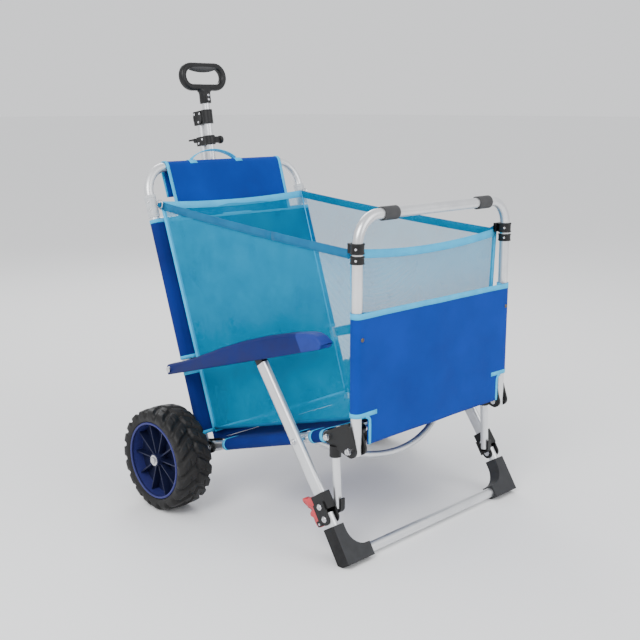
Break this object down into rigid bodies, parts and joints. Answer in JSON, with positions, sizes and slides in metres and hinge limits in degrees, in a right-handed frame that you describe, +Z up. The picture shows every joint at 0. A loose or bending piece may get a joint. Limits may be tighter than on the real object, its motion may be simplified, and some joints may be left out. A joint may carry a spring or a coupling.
{
  "type": "beach cart",
  "caption": "Folding beach cart and lounge chair: tube frame, slings, hung mesh basket, wide beach wheels, telescoping pull handle and folding foot frame.",
  "frame": {"origin": "middle of the cart's box, on the ground", "axes": "+X to the foot end, +Y to the left side, +Z up"},
  "size_m": [0.9648, 0.88, 1.1567],
  "materials": {
    "tubes": "satin",
    "steel": "satin",
    "black_plastic": "matte",
    "grey_plastic": "matte",
    "clear_clamp": "satin",
    "grip_rubber": "matte",
    "royal_fabric": "woven",
    "navy_fabric": "woven",
    "turquoise_trim": "woven tape",
    "teal_webbing": "webbing",
    "basket_mesh": "open mesh",
    "armrest_plastic": "satin",
    "hub_plastic": "satin",
    "tyre": "matte",
    "red_plastic": "gloss",
    "soft_sleeve": "soft"
  },
  "bodies": {
    "chassis": {"seat_rail_left": "tubes", "seat_rail_right": "tubes", "rear_cross_tube": "tubes", "front_cross_tube": "tubes", "bowed_cross_bar": "tubes", "seat_sling": "navy_fabric", "rear_bracket_left": "black_plastic", "rear_bracket_right": "black_plastic", "axle_left": "steel", "axle_right": "steel", "recline_bolts": "steel", "front_bracket_left": "black_plastic", "front_bracket_right": "black_plastic", "bracket_bolts": "steel", "leg_tube_left": "tubes", "leg_tube_right": "tubes", "leg_bolts": "steel", "leg_cap_left": "black_plastic", "leg_cap_right": "black_plastic", "link_left": "tubes", "link_right": "tubes", "link_collars": "black_plastic", "knuckle_left": "black_plastic", "knuckle_right": "black_plastic", "knuckle_pins": "steel", "basket_floor": "basket_mesh", "basket_walls": "basket_mesh", "basket_webbing": "teal_webbing"},
    "wheel_left": {"tyre_left": "tyre", "hub_left": "hub_plastic", "axle_cap_left": "steel"},
    "wheel_right": {"tyre_right": "tyre", "hub_right": "hub_plastic", "axle_cap_right": "steel"},
    "backrest": {"back_tube": "tubes", "back_cross_tubes": "tubes", "back_sling": "navy_fabric", "headrest": "royal_fabric", "carry_strap": "turquoise_trim", "back_clamps": "clear_clamp", "strap_loops": "steel", "armrest_bolts": "steel", "handle_tube": "tubes", "handle_brackets": "black_plastic", "handle_guide": "black_plastic", "lever_clamp": "black_plastic"},
    "armrest_left": {"armrest_left": "armrest_plastic"},
    "armrest_right": {"armrest_right": "armrest_plastic"},
    "handle": {"stem": "tubes", "grip": "grip_rubber"},
    "clamp_lever": {"clamp_lever": "black_plastic"},
    "legrest": {"rest_tube": "tubes", "rest_panel": "royal_fabric", "bar_sleeves": "soft_sleeve", "rest_clamps": "black_plastic", "panel_snaps": "steel"},
    "foot_frame": {"foot_tube": "tubes", "foot_left": "grey_plastic", "foot_right": "grey_plastic"},
    "latch": {"latch_lever": "red_plastic"}
  },
  "joints": [
    {"name": "back_recline", "type": "hinge", "parent": "chassis", "child": "backrest", "pos_m": [-0.09748, 0, 0.14], "axis": [0, -1, 0], "range_deg": [0, 45]},
    {"name": "armrest_left_turn", "type": "hinge", "parent": "backrest", "child": "armrest_left", "pos_m": [-0.16713, 0, 0.35184], "axis": [0, -1, 0], "range_deg": [-38, 0]},
    {"name": "armrest_right_turn", "type": "hinge", "parent": "backrest", "child": "armrest_right", "pos_m": [-0.16713, 0, 0.35184], "axis": [0, -1, 0], "range_deg": [-38, 0]},
    {"name": "leg_rest_fold", "type": "hinge", "parent": "chassis", "child": "legrest", "pos_m": [0.45052, 0, 0.26854], "axis": [0, 1, 0], "range_deg": [0, 73]},
    {"name": "foot_fold", "type": "hinge", "parent": "chassis", "child": "foot_frame", "pos_m": [0.40621, 0, 0.10156], "axis": [0, -1, 0], "range_deg": [0, 60]},
    {"name": "latch_turn", "type": "hinge", "parent": "chassis", "child": "latch", "pos_m": [0.38395, 0, 0.08057], "axis": [0, -1, 0], "range_deg": [0, 35]},
    {"name": "handle_slide", "type": "slide", "parent": "backrest", "child": "handle", "axis": [-0.1461, 0, 0.9893], "range_m": [-0.015, 0.24]},
    {"name": "clamp_lever_flip", "type": "hinge", "parent": "backrest", "child": "clamp_lever", "pos_m": [-0.45334, 0, 0.93248], "axis": [0, 1, 0], "range_deg": [0, 80]},
    {"name": "wheel_left_spin", "type": "hinge", "parent": "chassis", "child": "wheel_left", "pos_m": [-0.11848, 0, 0.135], "axis": [0, 1, 0], "continuous": true},
    {"name": "wheel_right_spin", "type": "hinge", "parent": "chassis", "child": "wheel_right", "pos_m": [-0.11848, 0, 0.135], "axis": [0, 1, 0], "continuous": true}
  ],
  "couplings": [
    {"joint": "armrest_left_turn", "follows": "back_recline", "ratio": -0.838},
    {"joint": "armrest_right_turn", "follows": "back_recline", "ratio": -0.838}
  ]
}
